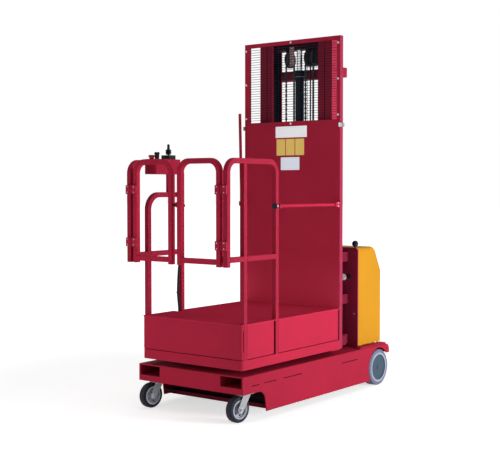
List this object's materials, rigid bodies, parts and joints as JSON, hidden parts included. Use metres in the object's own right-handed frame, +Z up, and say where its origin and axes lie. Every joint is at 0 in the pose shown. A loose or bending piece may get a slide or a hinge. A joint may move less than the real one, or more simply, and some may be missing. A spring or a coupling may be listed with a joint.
{
  "type": "order picker",
  "caption": "Self-propelled order picker with a chain-lifted operator's platform, gated hand rails, mesh back guard, lift mast and a driven chassis on casters.",
  "frame": {"origin": "centre of the overall box at floor level", "axes": "+Z up, +X to the right of a person who faces the machine's front, -Y towards that person"},
  "size_m": [0.825, 1.8255, 2.376],
  "materials": {
    "red_paint": "satin",
    "yellow_paint": "satin",
    "dark_paint": "satin",
    "zinc_steel": "zinc plated",
    "chain_steel": "oiled",
    "rod_chrome": "polished",
    "drive_tread": "matte polyurethane",
    "caster_tread": "matte rubber",
    "hub_paint": "satin",
    "rim_plastic": "moulded",
    "black_plastic": "moulded",
    "red_plastic": "gloss",
    "cable_rubber": "matte",
    "battery_case": "moulded",
    "power_metal": "satin"
  },
  "bodies": {
    "chassis": {"front_beam": "red_paint", "side_plate_left": "red_paint", "side_plate_right": "red_paint", "fork_pockets": "dark_paint", "chassis_plate": "red_paint", "floor_pan": "red_paint", "mast_uprights": "red_paint", "mast_crossbars": "red_paint", "bulkhead": "red_paint", "hood": "yellow_paint", "battery": "battery_case", "hydraulic_unit": "power_metal", "lift_cylinder": "dark_paint", "drive_motors": "power_metal", "caster_plates": "zinc_steel", "chain_fixed_runs": "chain_steel", "cable_fixed_run": "cable_rubber"},
    "drive_wheel_left": {"drive_tyre_left": "drive_tread", "drive_hub_left": "hub_paint"},
    "drive_wheel_right": {"drive_tyre_right": "drive_tread", "drive_hub_right": "hub_paint"},
    "caster_swivel_left": {"caster_fork_left": "zinc_steel"},
    "caster_wheel_left": {"caster_rim_left": "rim_plastic", "caster_tyre_left": "caster_tread"},
    "caster_swivel_right": {"caster_fork_right": "zinc_steel"},
    "caster_wheel_right": {"caster_rim_right": "rim_plastic", "caster_tyre_right": "caster_tread"},
    "inner_mast": {"inner_uprights": "red_paint", "inner_crossbars": "red_paint", "piston_rod": "rod_chrome", "chain_lift_runs": "chain_steel", "cable_lift_run": "cable_rubber"},
    "sheave_set": {"sheaves": "chain_steel"},
    "platform": {"platform_base": "red_paint", "platform_panels": "red_paint", "deck_plate": "red_paint", "back_guard": "red_paint", "mesh_panel": "dark_paint", "guard_fittings": "zinc_steel", "rail_hoop_left": "red_paint", "rail_hoop_right": "red_paint", "corner_hoop": "red_paint", "rail_braces": "red_paint", "hinge_plates": "red_paint", "bar_brackets": "red_paint", "bar_catches": "black_plastic", "carriage": "red_paint", "control_box": "red_paint", "joystick_base": "black_plastic", "control_cable": "cable_rubber"},
    "gate_leaf_left": {"gate_left": "red_paint"},
    "gate_leaf_right": {"gate_right": "red_paint"},
    "bolt": {"gate_bolt": "red_paint"},
    "side_bar_left": {"entry_bar_left": "red_paint"},
    "side_bar_right": {"entry_bar_right": "red_paint"},
    "cross_pivot": {"joystick_ball": "black_plastic"},
    "lever": {"joystick_lever": "black_plastic"},
    "stop_push": {"stop_button": "red_plastic"},
    "key": {"key_switch": "black_plastic"},
    "valve_knob": {"release_knob": "black_plastic"}
  },
  "joints": [
    {"name": "mast_lift", "type": "slide", "parent": "chassis", "child": "inner_mast", "axis": [0, 0, 1], "range_m": [0, 1.2], "deforming": ["chain_fixed_runs", "cable_fixed_run"]},
    {"name": "platform_lift", "type": "slide", "parent": "inner_mast", "child": "platform", "axis": [0, 0, 1], "range_m": [0, 1.2], "deforming": ["chain_lift_runs", "cable_lift_run"]},
    {"name": "sheave_spin", "type": "hinge", "parent": "inner_mast", "child": "sheave_set", "pos_m": [0, 0.38975, 2.258], "axis": [1, 0, 0], "range_deg": [-1456, 0]},
    {"name": "drive_spin_left", "type": "hinge", "parent": "chassis", "child": "drive_wheel_left", "pos_m": [-0.375, 0.76875, 0.125], "axis": [1, 0, 0], "continuous": true},
    {"name": "drive_spin_right", "type": "hinge", "parent": "chassis", "child": "drive_wheel_right", "pos_m": [0.375, 0.76875, 0.125], "axis": [1, 0, 0], "continuous": true},
    {"name": "caster_turn_left", "type": "hinge", "parent": "chassis", "child": "caster_swivel_left", "pos_m": [-0.345, -0.68825, 0.165], "axis": [0, 0, 1], "continuous": true},
    {"name": "caster_spin_left", "type": "hinge", "parent": "caster_swivel_left", "child": "caster_wheel_left", "pos_m": [-0.35251, -0.73566, 0.078], "axis": [0.9877, -0.1564, 0], "continuous": true},
    {"name": "caster_turn_right", "type": "hinge", "parent": "chassis", "child": "caster_swivel_right", "pos_m": [0.345, -0.68825, 0.165], "axis": [0, 0, 1], "continuous": true},
    {"name": "caster_spin_right", "type": "hinge", "parent": "caster_swivel_right", "child": "caster_wheel_right", "pos_m": [0.33749, -0.73566, 0.078], "axis": [0.9877, -0.1564, 0], "continuous": true},
    {"name": "gate_left_hinge", "type": "hinge", "parent": "platform", "child": "gate_leaf_left", "pos_m": [-0.352, -0.90725, 1.206], "axis": [0, 0, -1], "range_deg": [0, 110]},
    {"name": "gate_right_hinge", "type": "hinge", "parent": "platform", "child": "gate_leaf_right", "pos_m": [0.352, -0.90725, 1.206], "axis": [0, 0, 1], "range_deg": [0, 110]},
    {"name": "gate_bolt_slide", "type": "slide", "parent": "gate_leaf_right", "child": "bolt", "axis": [1, 0, 0], "range_m": [-0.012, 0]},
    {"name": "entry_bar_left_pivot", "type": "hinge", "parent": "platform", "child": "side_bar_left", "pos_m": [-0.387, 0.23675, 1.267], "axis": [1, 0, 0], "range_deg": [0, 88.2]},
    {"name": "entry_bar_right_pivot", "type": "hinge", "parent": "platform", "child": "side_bar_right", "pos_m": [0.387, 0.23675, 1.267], "axis": [-1, 0, 0], "range_deg": [0, 88.2]},
    {"name": "joystick_tip_forward", "type": "hinge", "parent": "platform", "child": "cross_pivot", "pos_m": [-0.313, -0.60925, 1.568], "axis": [1, 0, 0], "range_deg": [-20, 20], "stiffness_Nm_per_rad": 0.6},
    {"name": "joystick_tip_side", "type": "hinge", "parent": "cross_pivot", "child": "lever", "pos_m": [-0.313, -0.60925, 1.568], "axis": [0, 1, 0], "range_deg": [-20, 20], "stiffness_Nm_per_rad": 0.6},
    {"name": "stop_press", "type": "slide", "parent": "platform", "child": "stop_push", "axis": [0, 0, -1], "range_m": [0, 0.005], "stiffness_N_per_m": 800, "springref_m": -0.003},
    {"name": "key_turn", "type": "hinge", "parent": "platform", "child": "key", "pos_m": [-0.295, -0.73525, 1.555], "axis": [0, 0, -1], "range_deg": [0, 90]},
    {"name": "valve_knob_pull", "type": "slide", "parent": "chassis", "child": "valve_knob", "axis": [0, 0, 1], "range_m": [0, 0.02], "stiffness_N_per_m": 600, "springref_m": -0.01}
  ],
  "couplings": [
    {"joint": "platform_lift", "follows": "mast_lift", "ratio": 1},
    {"joint": "sheave_spin", "follows": "mast_lift", "rad_per_m": -21.142}
  ]
}
